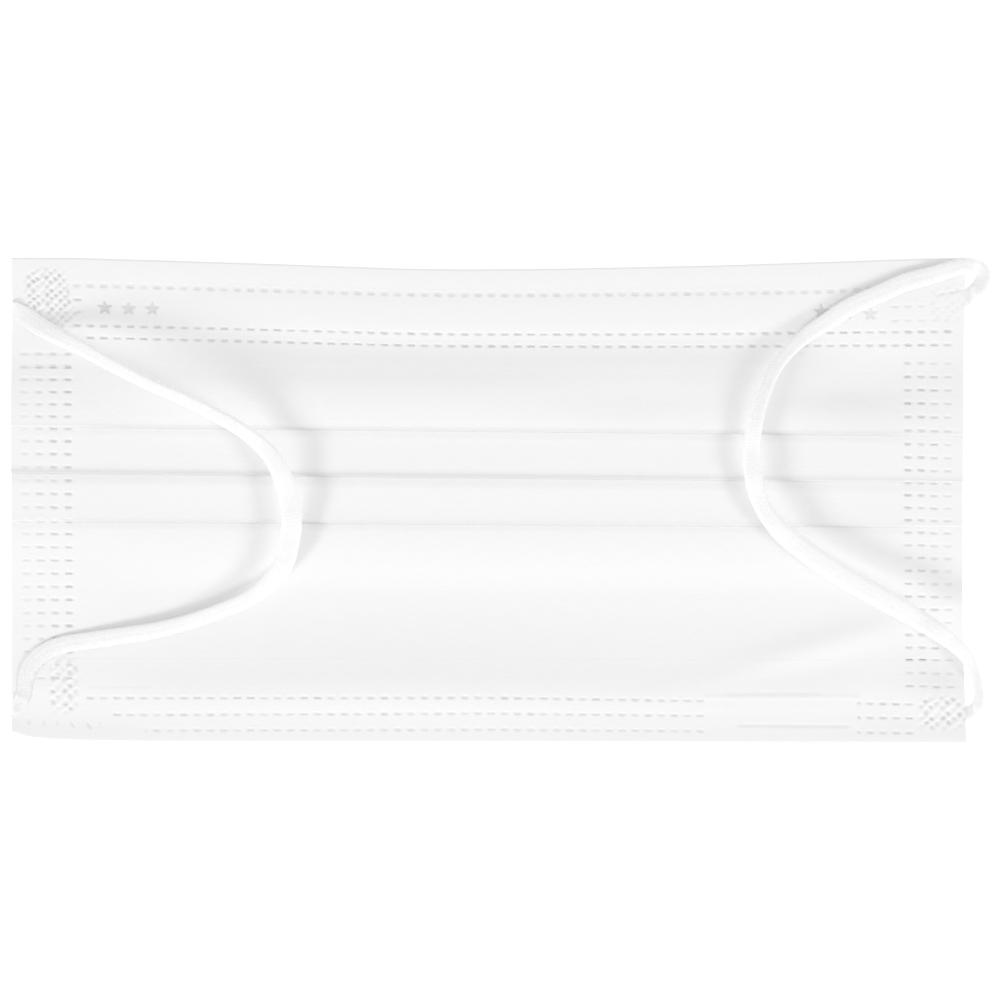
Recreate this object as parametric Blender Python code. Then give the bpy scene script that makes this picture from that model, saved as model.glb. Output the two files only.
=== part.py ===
"""A pleated three-ply surgical face mask, lying flat with its two ear loops over the seen side.

Metres, +Z up, +X to the wearer's left as seen here, +Y towards the nose edge. The origin is the middle
of the mask on the surface that it lies on. Every sheet is a ribbon of section points (y, z), worked out
at stations along X and joined into one closed body.
"""

import math

import bmesh
import bpy

# The body
MASK_WIDTH = 0.175
MASK_HEIGHT = 0.0894
PLY_WALL = 0.001  # three plies together
PART_GAP = 0.0003  # between pieces that lie on each other
LAYER_GAP = 0.00012  # between the folded layers of the body

# The pleats: fold edges on the seen side point down
PLEAT_COUNT = 3
FIRST_FOLD = 0.013  # height of the uppermost fold edge over the middle
PLEAT_PITCH = 0.00855
PLEAT_DEPTH = 0.0075  # how far a fold runs back under itself
PANEL_EASE = 0.003  # length of the soft bend where the body rises to the first pleat
BELLY_RUN = 0.013  # how far the body takes to come down after the last pleat
BILLOW = 0.0008  # low swell between the belly and the bottom hem

# The fused bands along both sides
BAND_WIDTH = 0.0125
BAND_WALL = 0.0007  # one layer, pressed
BAND_LEAST = 0.0008  # thinnest place of the fused band
BAND_EASE = 0.009
BAND_SKIN = 0.00004  # the fused band stands this much proud of the layers that run into it

# The hems
TOP_HEM = 0.0162
BOTTOM_HEM = 0.0094
HEM_WALL = 0.001
HEM_CORNER = 0.0001  # inner radius of the fold at the edge

# The nose wire
WIRE_LENGTH = 0.104
WIRE_WIDTH = 0.0035
WIRE_THICK = 0.0006
WIRE_BELOW_EDGE = 0.0098  # its middle, down from the top edge
WIRE_RAMP = 0.002  # how far the hem takes to come down beside the wire

# The ear loops
LOOP_DIAMETER = 0.0026
WELD_THICK = 0.001
WELD_WIDTH = 0.005
WELD_LENGTH = 0.0105
WELD_CORNER = 0.0016
LIFT_RUN = 0.025  # how far the body takes to come down from the loop welds to the floor

# In-plane shape of the photographed mask
TOP_SAG = 0.0022  # the top edge dips this much
PLEAT_DROP = 0.0016  # the fold lines drop this much from left to right
CORNER_CURL = 0.0021  # the lower left corner is turned up this much
SIDE_BOW = 0.0006  # the right edge bows in this much

# Share of half the width, share of the top edge's sag
TOP_EDGE = [
    {"across": -1.0, "sag": 0.0},
    {"across": -0.86, "sag": 0.04},
    {"across": -0.69, "sag": 0.24},
    {"across": -0.43, "sag": 0.57},
    {"across": -0.19, "sag": 0.92},
    {"across": -0.05, "sag": 1.0},
    {"across": 0.13, "sag": 0.95},
    {"across": 0.48, "sag": 0.67},
    {"across": 0.74, "sag": 0.33},
    {"across": 0.9, "sag": 0.11},
    {"across": 1.0, "sag": 0.0},
]
# Share of half the width, share of the lower left corner's curl
BOTTOM_EDGE = [
    {"across": -1.0, "curl": 1.0},
    {"across": -0.965, "curl": 0.5},
    {"across": -0.93, "curl": 0.33},
    {"across": -0.85, "curl": 0.2},
    {"across": -0.7, "curl": 0.1},
    {"across": 0.3, "curl": 0.06},
    {"across": 1.0, "curl": 0.0},
]

# Where each loop end is welded: side is -1 at the left, y is the height over the middle
LOOP_WELDS = [
    {"name": "loop_weld_top_left", "side": -1, "y": 0.0357},
    {"name": "loop_weld_bottom_left", "side": -1, "y": -0.0350},
    {"name": "loop_weld_top_right", "side": 1, "y": 0.0372},
    {"name": "loop_weld_bottom_right", "side": 1, "y": -0.0392},
]

# The loops' routes in millimetres, chosen by hand: x, y, and the height of the loop's middle over the
# floor. REST is a place where the loop lies on the mask.
REST = None
MM = 1000  # the routes' numbers in a metre
LEFT_ROUTE = [
    (-87.8, 35.7, 1.6),
    (-89.1, 35.8, 2.0),
    (-89.8, 35.9, 3.3),
    (-89.2, 35.8, 4.6),
    (-87.3, 34.9, REST),
    (-83.7, 32.8, REST),
    (-76.7, 28.2, REST),
    (-68.5, 24.4, REST),
    (-62.2, 21.4, REST),
    (-54.7, 18.1, REST),
    (-47.1, 14.1, REST),
    (-42.4, 10.8, REST),
    (-38.9, 6.9, REST),
    (-36.7, 1.0, REST),
    (-36.1, -3.6, REST),
    (-36.7, -8.2, REST),
    (-38.3, -12.4, REST),
    (-42.9, -16.4, REST),
    (-51.2, -19.9, REST),
    (-60.6, -22.7, REST),
    (-72.1, -24.7, REST),
    (-80.4, -26.4, REST),
    (-84.6, -29.0, REST),
    (-86.6, -32.2, REST),
    (-88.0, -34.2, 4.9),
    (-89.6, -35.0, 4.0),
    (-89.6, -35.1, 2.3),
    (-87.8, -35.0, 1.6),
]
RIGHT_ROUTE = [
    (87.8, 37.2, 1.6),
    (89.5, 37.7, 1.8),
    (91.0, 39.3, 2.4),
    (91.4, 41.2, 3.1),
    (90.7, 42.9, 3.9),
    (89.1, 43.7, 4.6),
    (86.6, 43.3, REST),
    (82.1, 42.0, REST),
    (76.6, 40.2, REST),
    (72.0, 38.1, REST),
    (66.4, 35.6, REST),
    (62.0, 32.8, REST),
    (58.7, 30.6, REST),
    (55.0, 27.3, REST),
    (52.3, 23.8, REST),
    (50.5, 19.9, REST),
    (49.3, 15.9, REST),
    (48.4, 11.1, REST),
    (48.2, 6.5, REST),
    (49.5, 0.6, REST),
    (53.2, -5.2, REST),
    (59.1, -10.0, REST),
    (66.1, -14.6, REST),
    (74.3, -18.8, REST),
    (81.3, -23.4, REST),
    (86.0, -25.8, REST),
    (88.3, -27.6, 4.7),
    (89.7, -30.2, 4.0),
    (90.6, -33.4, 3.2),
    (90.7, -36.3, 2.4),
    (89.7, -38.6, 1.8),
    (87.8, -39.2, 1.6),
]

# How finely the shapes are cut
FOLD_STEPS = 4
CURVE_STEPS = 4
MIDDLE_STATIONS = 3
EASE_STATIONS = 3
BAND_STATIONS = 3
LOOP_POINTS = 70

WHITE = (0.86, 0.86, 0.86, 1.0)
WIRE_WHITE = (0.8, 0.8, 0.78, 1.0)

EDGE_Y = MASK_HEIGHT / 2
BODY_EDGE = EDGE_Y - HEM_WALL - PART_GAP  # the body's own edge, inside a hem's fold
WELD_LIFT = WELD_THICK + PART_GAP


def eased(share):
    """0 to 1 with level ends."""
    share = min(max(share, 0.0), 1.0)
    return share * share * (3 - 2 * share)


def from_table(rows, column, across):
    """The value of a column at a share of half the width, on straight lines between the rows."""
    for low, high in zip(rows, rows[1:]):
        if across <= high["across"]:
            share = (across - low["across"]) / (high["across"] - low["across"])
            return low[column] + (high[column] - low[column]) * max(share, 0.0)
    return rows[-1][column]


def pressed(x):
    """0 in the free body, 1 in the fused side bands."""
    start = MASK_WIDTH / 2 - BAND_WIDTH - BAND_EASE
    return eased((abs(x) - start) / BAND_EASE)


def wall_at(x):
    return PLY_WALL + (BAND_WALL - PLY_WALL) * pressed(x)


def lift_at(x):
    """How far the body stands off the floor: on the loop welds at the sides, down in the middle."""
    start = MASK_WIDTH / 2 - WELD_LENGTH - LIFT_RUN
    return WELD_LIFT * eased((abs(x) - start) / LIFT_RUN)


def placed(x, y, z):
    """A section point at a station, with the photographed mask's edges and leaning fold lines."""
    across = x / (MASK_WIDTH / 2)
    upper = min(max((y - FIRST_FOLD) / (EDGE_Y - FIRST_FOLD), 0.0), 1.0)
    lower = min(max((BOTTOM_HEM - y - EDGE_Y) / BOTTOM_HEM, 0.0), 1.0)
    y_out = y - TOP_SAG * from_table(TOP_EDGE, "sag", across) * upper
    y_out += CORNER_CURL * from_table(BOTTOM_EDGE, "curl", across) * lower
    y_out -= PLEAT_DROP * across / 2 * max(1 - abs(y) / EDGE_Y, 0.0)
    bow = SIDE_BOW * max(across, 0.0) ** 6 * max(1 - (y / EDGE_Y) ** 2, 0.0)
    return (x - bow, y_out, z + lift_at(x))


def body_path(x):
    """The folded sheet's middle line at a station, from the top edge down, as rows y, z, ny, nz.

    Its panels are parallel and lean by a small angle, so that three layers pass over each other:
    each fold runs back under the panel above it, and the next panel starts at the floor.
    """
    wall = wall_at(x)
    step = wall + LAYER_GAP
    lean = math.asin(2 * step / PLEAT_PITCH)
    down = (-math.cos(lean), math.sin(lean))  # along a panel towards its fold edge
    out = (math.sin(lean), math.cos(lean))  # square to a panel, up
    reach = (step + wall) / 2

    def turn(centre, sign):
        """Half a turn about a fold's centre, from above it to below it; sign is 1 at a fold edge."""
        rows = []
        for i in range(FOLD_STEPS + 1):
            a = math.pi * i / FOLD_STEPS
            ny = out[0] * math.cos(a) + sign * down[0] * math.sin(a)
            nz = out[1] * math.cos(a) + sign * down[1] * math.sin(a)
            rows.append((centre[0] + ny * step / 2, centre[1] + nz * step / 2, ny * sign, nz * sign))
        return rows

    folds = [FIRST_FOLD - k * PLEAT_PITCH for k in range(PLEAT_COUNT)]
    rows = []
    for k, fold in enumerate(folds):
        inner = (fold + PLEAT_DEPTH - reach, reach)
        run = (inner[0] + out[0] * step - fold - reach) / -down[0]
        outer = (inner[0] + out[0] * step + down[0] * run, inner[1] + out[1] * step + down[1] * run)
        edge = turn(outer, 1)
        if k == 0:
            # the upper panel: level under the hem, then a soft bend up to the first fold edge
            foot = edge[0][0] - down[0] * (edge[0][1] - wall / 2) / down[1]
            last = BODY_EDGE
            rows.append((last, wall / 2, 0.0, 1.0))
            for share in (0.75, 0.5, 0.25):
                y = foot + PANEL_EASE + (last - foot - PANEL_EASE) * share
                rows.append((y, wall / 2, 0.0, 1.0))
            for i in range(CURVE_STEPS + 1):
                t = i / CURVE_STEPS
                back, on = (1 - t) ** 2, t * t
                y = foot + back * PANEL_EASE + on * PANEL_EASE * down[0]
                z = wall / 2 + on * PANEL_EASE * down[1]
                a = lean * t
                rows.append((y, z, math.sin(a), math.cos(a)))
        else:
            start = rows[-1]
            rows += between(start, edge[0], CURVE_STEPS - 2)
        rows += edge
        rows += turn(inner, -1)
    start = rows[-1]
    emerge = folds[-1]
    rise = start[1] + (start[0] - emerge) * math.tan(lean)
    rows += between(start, (emerge, rise, out[0], out[1]), 2)
    low = emerge - BELLY_RUN
    for i in range(1, 2 * CURVE_STEPS + 1):
        t = i / (2 * CURVE_STEPS)
        y = emerge + (low - emerge) * t
        # a curve that starts with the panel's lean and ends level on the floor
        z = rise * (1 - t) ** 2 * (1 + 2 * t) + math.tan(lean) * BELLY_RUN * t * (1 - t) ** 2
        z += wall / 2 * t * t * (3 - 2 * t)
        tilt = ((wall / 2 - rise) * 6 * t * (1 - t)) / BELLY_RUN + math.tan(lean) * (1 - t) * (1 - 3 * t)
        rows.append((y, z, math.sin(math.atan(tilt)), math.cos(math.atan(tilt))))
    hem_low = BOTTOM_HEM - EDGE_Y
    for i in range(1, 2 * CURVE_STEPS + 1):
        t = i / (2 * CURVE_STEPS)
        swell = BILLOW * (1 - pressed(x)) * math.sin(math.pi * t) ** 2
        rows.append((low + (hem_low - low) * t, wall / 2 + swell, 0.0, 1.0))
    rows.append((-BODY_EDGE, wall / 2, 0.0, 1.0))
    return rows


def between(first, last, count):
    """Rows on the straight line between two rows, without the two themselves."""
    return [
        tuple(a + (b - a) * i / (count + 1) for a, b in zip(first[:2], last[:2])) + tuple(last[2:])
        for i in range(1, count + 1)
    ]


def body_faces(x):
    """The seen side and the far side of the body at a station, as two lists of (y, z)."""
    half = wall_at(x) / 2
    path = body_path(x)
    seen = [(y + ny * half, z + nz * half) for y, z, ny, nz in path]
    far = [(y - ny * half, z - nz * half) for y, z, ny, nz in path]
    return seen, far


def height_of(line, y):
    """The highest crossing of a section line at y."""
    best = 0.0
    for (y0, z0), (y1, z1) in zip(line, line[1:]):
        if min(y0, y1) <= y <= max(y0, y1):
            share = (y - y0) / (y1 - y0) if y1 != y0 else 0.0
            best = max(best, z0 + (z1 - z0) * share, z1 if y1 == y0 else 0.0)
    return best


def body_top(x, y):
    """The height of the body's seen side over the body's own base."""
    top = height_of(body_faces(x)[0], y)
    if abs(x) >= MASK_WIDTH / 2 - BAND_WIDTH:
        return max(top + BAND_SKIN, BAND_LEAST)
    return top


def band_faces(x):
    """The fused band at a station: its upper line steps down at each fold edge, its lower is level."""
    seen = body_faces(x)[0]
    nudge = BAND_SKIN
    ys = [BODY_EDGE]
    folds = [FIRST_FOLD - k * PLEAT_PITCH for k in range(PLEAT_COUNT)]
    ys += [BODY_EDGE - TOP_HEM * share for share in (0.5, 0.95)]
    for fold in folds:
        ys += [fold + PLEAT_PITCH * 0.5, fold + wall_at(x), fold + nudge, fold - nudge]
    ys += [folds[-1] - BELLY_RUN * share for share in (0.3, 0.6, 1.0)]
    ys += [BOTTOM_HEM - EDGE_Y, -BODY_EDGE]
    upper = [(y, max(height_of(seen, y) + BAND_SKIN, BAND_LEAST)) for y in ys]
    return upper, [(y, -BAND_SKIN) for y in ys]


def wire_base():
    """The height of the nose wire's underside over the body's own base."""
    y = EDGE_Y - WIRE_BELOW_EDGE
    return max(body_top(0.0, y + side * WIRE_WIDTH / 2) for side in (-1, 0, 1)) + PART_GAP


def wire_bulge(x, y):
    """The lowest that the top hem may lie over the nose wire, fading beside it and past its ends."""
    beside = abs(y - (EDGE_Y - WIRE_BELOW_EDGE)) - WIRE_WIDTH / 2 - PART_GAP
    beyond = abs(x) - WIRE_LENGTH / 2 - PART_GAP
    fade = eased(1 - beside / WIRE_RAMP) * eased(1 - beyond / (2 * WIRE_RAMP))
    return (WIRE_THICK + PART_GAP) * fade


def hem_faces(x, sign, depth):
    """A hem at a station: a flap on the seen side, then round the body's edge down to its base."""
    inner = EDGE_Y - HEM_WALL
    count = 3 * CURVE_STEPS
    low, high = [], []
    for i in range(count + 1):
        y = EDGE_Y - depth + (inner - HEM_CORNER - EDGE_Y + depth) * i / count
        top = max(body_top(x, sign * (y + side * PART_GAP)) for side in (-1, 0, 1)) + PART_GAP
        if sign > 0:
            top += wire_bulge(x, y)
        low.append((sign * y, top))
        high.append((sign * y, top + HEM_WALL))
    centre = (inner - HEM_CORNER, low[-1][1] - HEM_CORNER)
    for i in range(1, FOLD_STEPS + 1):
        a = math.pi / 2 * i / FOLD_STEPS
        for line, radius in ((low, HEM_CORNER), (high, HEM_CORNER + HEM_WALL)):
            line.append((sign * (centre[0] + radius * math.sin(a)), centre[1] + radius * math.cos(a)))
    low.append((sign * inner, 0.0))
    high.append((sign * EDGE_Y, 0.0))
    return high, low


def material(name, colour, roughness, metallic=0.0):
    made = bpy.data.materials.new(name)
    made.use_nodes = True
    shader = made.node_tree.nodes["Principled BSDF"]
    shader.inputs["Base Color"].default_value = colour
    shader.inputs["Roughness"].default_value = roughness
    shader.inputs["Metallic"].default_value = metallic
    return made


def add_object(name, mesh, finish):
    made = bpy.data.objects.new(name, mesh)
    bpy.context.scene.collection.objects.link(made)
    mesh.materials.append(finish)
    return made


def ribbon_body(name, stations, faces_at, finish):
    """Joins the two lines of each station into one closed wall: two faces, two long edges, two ends."""
    mesh = bpy.data.meshes.new(name)
    work = bmesh.new()
    sides = [[], []]
    for x in stations:
        for side, line in zip(sides, faces_at(x)):
            side.append([work.verts.new(placed(x, y, z)) for y, z in line])
    upper, lower = sides
    for a, b, c, d in zip(upper, upper[1:], lower, lower[1:]):
        for i in range(len(a) - 1):
            work.faces.new((a[i], a[i + 1], b[i + 1], b[i]))
            work.faces.new((c[i], d[i], d[i + 1], c[i + 1]))
        work.faces.new((a[0], b[0], d[0], c[0]))
        work.faces.new((a[-1], c[-1], d[-1], b[-1]))
    for near, under in ((upper[0], lower[0]), (upper[-1], lower[-1])):
        for i in range(len(near) - 1):
            work.faces.new((near[i], under[i], under[i + 1], near[i + 1]))
    bmesh.ops.recalc_face_normals(work, faces=work.faces)
    bmesh.ops.triangulate(work, faces=work.faces)
    work.to_mesh(mesh)
    work.free()
    return add_object(name, mesh, finish)


def spaced(first, last, count):
    return [first + (last - first) * i / count for i in range(count + 1)]


def all_stations():
    """Every sheet is cut at the same places along X, so that sheets that lie on each other agree."""
    half = MASK_WIDTH / 2
    inner = half - BAND_WIDTH
    lift_start = half - WELD_LENGTH - LIFT_RUN
    ease_start = inner - BAND_EASE
    right = spaced(0.0, lift_start, MIDDLE_STATIONS) + spaced(lift_start, ease_start, 2)
    right += [WIRE_LENGTH / 2 + PART_GAP + WIRE_RAMP * share for share in (0, 2)]
    right += spaced(ease_start, inner - PART_GAP, EASE_STATIONS)
    right += [inner, inner + BAND_WIDTH / 10] + spaced(inner + BAND_WIDTH / 10, half, BAND_STATIONS)
    kept = []
    for x in sorted(right):
        if not kept or x - kept[-1] > PART_GAP / 2:
            kept.append(x)
    return [-x for x in reversed(kept[1:])] + kept


def make_panel(finish):
    """The pleated body: the free folded sheet, joined to a fused band at each side."""
    inner = MASK_WIDTH / 2 - BAND_WIDTH
    stations = all_stations()
    reach = inner + BAND_WIDTH / 10 + PART_GAP / 4
    panel = ribbon_body("panel", [x for x in stations if abs(x) < reach], body_faces, finish)
    for side, name in ((-1, "left_band"), (1, "right_band")):
        beside = [x for x in stations if x * side > inner - PART_GAP / 4]
        band = ribbon_body(name, beside, band_faces, finish)
        band.hide_render = True
        band.display_type = "WIRE"
        joined = panel.modifiers.new(name, "BOOLEAN")
        joined.operation = "UNION"
        joined.solver = "EXACT"
        joined.object = band
    return panel


def make_hems(finish):
    stations = all_stations()
    ribbon_body("top_hem", stations, lambda x: hem_faces(x, 1, TOP_HEM), finish)
    ribbon_body("bottom_hem", stations, lambda x: hem_faces(x, -1, BOTTOM_HEM), finish)


def make_wire(finish):
    """A flat strip that follows the sagging edge, on the body and under the top hem."""
    middle = EDGE_Y - WIRE_BELOW_EDGE
    base = wire_base()

    def wire_faces(x):
        ys = [middle - WIRE_WIDTH / 2, middle, middle + WIRE_WIDTH / 2]
        return [(y, base + WIRE_THICK) for y in ys], [(y, base) for y in ys]

    end = WIRE_LENGTH / 2
    stations = [-end] + [x for x in all_stations() if abs(x) < end - PART_GAP] + [end]
    ribbon_body("nose_wire", stations, wire_faces, finish)


def make_weld(row, finish):
    """A loop's flattened end under a corner: a plate with two round corners towards the middle."""
    outer = MASK_WIDTH / 2
    inner = outer - WELD_LENGTH
    half = WELD_WIDTH / 2
    outline = [(outer, row["y"] - half), (outer, row["y"] + half)]
    for centre_y, start in ((row["y"] + half - WELD_CORNER, 90), (row["y"] - half + WELD_CORNER, 180)):
        for i in range(FOLD_STEPS + 1):
            a = math.radians(start + 90 * i / FOLD_STEPS)
            outline.append((inner + WELD_CORNER * (1 + math.cos(a)), centre_y + WELD_CORNER * math.sin(a)))
    mesh = bpy.data.meshes.new(row["name"])
    work = bmesh.new()
    floor = [work.verts.new((row["side"] * x, y, 0.0)) for x, y in outline]
    base = work.faces.new(floor)
    raised = bmesh.ops.extrude_face_region(work, geom=[base])
    top = [v for v in raised["geom"] if isinstance(v, bmesh.types.BMVert)]
    bmesh.ops.translate(work, verts=top, vec=(0.0, 0.0, WELD_THICK))
    bmesh.ops.recalc_face_normals(work, faces=work.faces)
    work.to_mesh(mesh)
    work.free()
    add_object(row["name"], mesh, finish)


def roof(x, y):
    """The highest place of the mask over the floor at a place in plan, hems and nose wire included."""
    across = min(max(x, -MASK_WIDTH / 2), MASK_WIDTH / 2)
    guess = y
    for _ in range(3):  # back from the placed y to the section's own y
        guess += y - placed(across, guess, 0.0)[1]
    top = body_top(across, guess)
    if guess > EDGE_Y - TOP_HEM - PART_GAP:
        top += PART_GAP + HEM_WALL + wire_bulge(across, guess)
    if guess < BOTTOM_HEM + PART_GAP - EDGE_Y:
        top += PART_GAP + HEM_WALL
    return top + lift_at(across)


def resting(x, y):
    """The height of a loop's middle where it lies on the mask, clear of it all round."""
    radius = LOOP_DIAMETER / 2
    best = 0.0
    for ring in (0.0, 0.5, 0.9):
        for i in range(8):
            a = math.pi / 4 * i
            spot = roof(x + ring * radius * math.cos(a), y + ring * radius * math.sin(a))
            best = max(best, spot + radius * math.sqrt(1 - ring * ring))
    return best + PART_GAP


def on_curve(a, b, c, d, t):
    """A value between b and c on the smooth curve through four values in a row."""
    square = 2 * a - 5 * b + 4 * c - d
    cube = 3 * b - a - 3 * c + d
    return 0.5 * (2 * b + (c - a) * t + square * t * t + cube * t**3)


def smooth_route(route):
    """Points along a smooth curve through a route, its heights worked out where it rests."""
    knots = []
    for x, y, z in route:
        x, y = x / MM, y / MM
        held = 1.0 if z is REST else 0.0
        knots.append((x, y, resting(x, y) if z is REST else z / MM, held))
    knots = [knots[0]] + knots + [knots[-1]]
    spans = len(route) - 1
    points = []
    for i in range(LOOP_POINTS + 1):
        at = i / LOOP_POINTS * spans
        k = min(int(at), spans - 1)
        t = at - k
        x, y, z = (on_curve(*values, t) for values in zip(*(knot[:3] for knot in knots[k : k + 4])))
        held = knots[k + 1][3] + (knots[k + 2][3] - knots[k + 1][3]) * t
        if held > 0:
            z = max(z, held * resting(x, y) + (1 - held) * z)
        points.append((x, y, z))
    return points


def make_loop(name, route, finish):
    points = smooth_route(route)
    data = bpy.data.curves.new(name, "CURVE")
    data.dimensions = "3D"
    data.bevel_depth = LOOP_DIAMETER / 2
    data.bevel_resolution = 2
    data.use_fill_caps = True
    line = data.splines.new("POLY")
    line.points.add(len(points) - 1)
    for place, point in zip(line.points, points):
        place.co = (*point, 1.0)
    made = bpy.data.objects.new(name, data)
    bpy.context.scene.collection.objects.link(made)
    data.materials.append(finish)


def main():
    for old in list(bpy.data.objects):
        bpy.data.objects.remove(old, do_unlink=True)
    make_panel(material("nonwoven_body", WHITE, 0.85))
    make_hems(material("nonwoven_hem", WHITE, 0.85))
    make_wire(material("nose_wire", WIRE_WHITE, 0.5))
    weld = material("loop_weld", WHITE, 0.5)
    for row in LOOP_WELDS:
        make_weld(row, weld)
    elastic = material("loop_elastic", WHITE, 0.8)
    make_loop("ear_loop_left", LEFT_ROUTE, elastic)
    make_loop("ear_loop_right", RIGHT_ROUTE, elastic)


main()
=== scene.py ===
# A pleated surgical face mask that lies flat, seen from above, with both ear loops over the seen side.
# Metres, +Z up. Each new piece is a surface worked out on a grid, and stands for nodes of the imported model.

import math

import bpy
import numpy as np
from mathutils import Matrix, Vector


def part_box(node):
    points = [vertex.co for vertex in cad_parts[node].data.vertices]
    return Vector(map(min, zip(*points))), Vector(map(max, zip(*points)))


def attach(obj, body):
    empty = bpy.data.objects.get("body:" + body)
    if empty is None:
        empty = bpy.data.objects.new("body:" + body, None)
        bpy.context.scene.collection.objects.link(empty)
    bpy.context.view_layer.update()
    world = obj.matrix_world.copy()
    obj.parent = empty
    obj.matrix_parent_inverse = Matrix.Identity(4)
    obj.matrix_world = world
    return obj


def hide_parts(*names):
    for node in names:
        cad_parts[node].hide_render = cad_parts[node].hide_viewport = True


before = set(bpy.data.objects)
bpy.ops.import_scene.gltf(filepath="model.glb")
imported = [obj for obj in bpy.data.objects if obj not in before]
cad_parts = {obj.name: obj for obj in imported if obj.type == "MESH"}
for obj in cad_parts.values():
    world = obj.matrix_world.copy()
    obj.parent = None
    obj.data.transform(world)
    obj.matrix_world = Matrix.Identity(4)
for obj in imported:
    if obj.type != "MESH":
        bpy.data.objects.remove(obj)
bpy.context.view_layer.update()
print("stage: packed model loaded")

mm = 0.001
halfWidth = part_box("panel")[1].x
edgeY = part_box("top_hem")[1].y
chance = np.random.default_rng(7)  # seeded, so each run gives the same mask


# The folded body

maskSheet = {
    "wall": 0.36 * mm,  # three plies together
    "layerStep": 0.4 * mm,  # from one folded layer to the next
    "firstFold": 12.72 * mm,  # height of the uppermost fold edge over the middle
    "pleatPitch": 8.55 * mm,
    "pleatDepth": 7.5 * mm,
    "pleatCount": 3,
    "bellyRun": 13.0 * mm,  # the last layer falls back to the floor over this
    "softStart": 2.5 * mm,  # half the length of the bend where the first pleat starts to rise
    "bandWidth": 12.5 * mm,  # the fused band at each side
    "bandEase": 13.0 * mm,  # the free body goes over into the band
    "bandStep": 0.37 * mm,  # from layer to layer in the bands
    "freeRun": 22.0 * mm,  # beside the bands the height goes over from the middle's to theirs
    "topSag": 2.2 * mm,
    "pleatDrop": 1.1 * mm,  # the fold lines fall from left to right, most at middle height
    "pleatLean": 1.1 * mm,  # and they fall more about leanAt
    "leanAt": 9.0 * mm,
    "cornerCurl": 2.1 * mm,
    "curlRun": 9.4 * mm,
    "sideBow": 0.6 * mm,
    "sideSpread": 0.26 * mm,
    "edgeFrom": 0.93,  # where the outermost part of the width starts, and how wide it is, in shares
    "edgeRun": 0.07,
    "edgeInset": 0.5 * mm,  # the body's own edge inside a hem's fold
}

# share of half the width, share of the top edge's sag
topEdge = {
    "across": [-1, -0.86, -0.69, -0.43, -0.19, -0.05, 0.13, 0.48, 0.74, 0.9, 1],
    "sag": [0, 0.04, 0.24, 0.57, 0.92, 1, 0.95, 0.67, 0.33, 0.11, 0],
}
# share of half the width, share of the lower left corner's curl
bottomEdge = {
    "across": [-1, -0.965, -0.93, -0.85, -0.7, 0.3, 1],
    "curl": [1, 0.5, 0.33, 0.2, 0.1, 0.06, 0],
}

# height of the lowest layer, down the middle of the mask and down its side bands: place and height in mm
middleRise = {
    "y": [-46, -44, -41, -36, -30, -25, -21, -12, -4, 4, 13, 15, 18, 21, 25, 29.5, 32, 46],
    "rise": [1.7, 1.5, 1.2, 1.08, 0.66, 0.26, 0.05, 0.1, 0.05,
             0.78, 1.5, 1.78, 2.08, 2.15, 1.8, 1.12, 1.05, 1.05],
}
bandRise = {
    "y": [-46, -44, -41, -37.5, -34, -26, -14, -4, 4, 13, 15, 18, 21, 25, 29.5, 32, 46],
    "rise": [1.78, 1.54, 1.14, 0.98, 1.02, 0.75, 0.35, 0.35,
             0.85, 1.4, 1.5, 1.56, 1.5, 1.28, 1.08, 1.05, 1.05],
}

# soft swells and dents of the cloth, in mm: x and y of the middle, spread along and across, turn in degrees,
# and rise
swells = [
    (28, 20, 14, 3, 0, -0.4),
    (64, 20.5, 10, 2.4, 0, -0.4),
    (68, 23.5, 10, 4.6, 0, -0.55),
    (61, -26.6, 12, 2.0, 16, 0.5),
    (84, -36.6, 5, 3.6, 0, 1.1),
    (86, -44.5, 7, 3.6, 0, 1.2),
    (-14, -33.5, 26, 5, 0, 0.42),
    (-78, -15.5, 10, 3.2, 0, 0.3),
    (85, -15.5, 5, 3.4, 0, 0.35),
]

# where a loop pulls the edge of the mask in: side, height, spread and pull in mm
edgePulls = [
    (-1, 34.8, 3.4, 0.3), (-1, -38.6, 2.4, 0.25),
]


# 0 to 1 with level ends: three times the square less twice the cube
def eased(share):
    share = np.clip(share, 0, 1)
    return share * share * (3 - 2 * share)


def pressedAt(x):  # 0 in the free body, 1 in the fused bands
    start = halfWidth - maskSheet["bandWidth"] - maskSheet["bandEase"]
    return eased((np.abs(x) - start) / maskSheet["bandEase"])


def stepAt(x):
    return maskSheet["layerStep"] + (maskSheet["bandStep"] - maskSheet["layerStep"]) * pressedAt(x)


# a smooth curve through places in rising order: each span is a cubic that meets its neighbours' mean slopes
def throughPlaces(at, places, values):
    places, values = np.array(places, float), np.array(values, float)
    slopes = np.gradient(values, places)
    k = np.clip(np.searchsorted(places, at) - 1, 0, len(places) - 2)
    run = places[k + 1] - places[k]
    t = np.clip((at - places[k]) / run, 0, 1)
    rise = values[k + 1] - values[k]
    lean = slopes[k] * run * t * (1 - t) ** 2 - slopes[k + 1] * run * t * t * (1 - t)
    return values[k] + rise * t * t * (3 - 2 * t) + lean


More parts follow.
